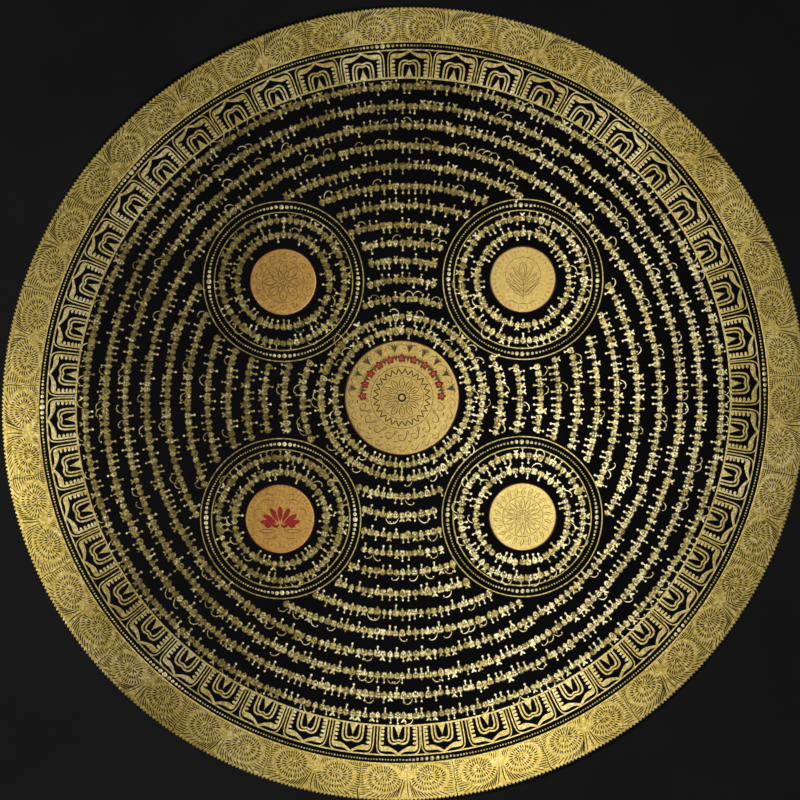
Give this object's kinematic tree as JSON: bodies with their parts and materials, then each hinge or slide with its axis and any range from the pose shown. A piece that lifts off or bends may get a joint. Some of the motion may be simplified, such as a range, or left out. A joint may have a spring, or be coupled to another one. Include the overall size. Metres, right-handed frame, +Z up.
{
  "type": "thangka painting",
  "caption": "Square painted canvas of a mandala thangka, gold ornament rings and round medallions on black cloth, hanging loose by its top edge.",
  "frame": {"origin": "middle of the canvas's top edge, halfway through its thickness", "axes": "+Z up, out of the top edge; +Y out of the back of the canvas, so the painted side faces -Y; +X to the right as the painting is looked at"},
  "size_m": [0.6, 0.0062, 0.6],
  "materials": {
    "black_canvas": "matte",
    "gold_paint": "satin",
    "line_paint": "matte",
    "red_paint": "matte"
  },
  "bodies": {
    "root": {"painted_canvas": "black_canvas"}
  },
  "joints": []
}
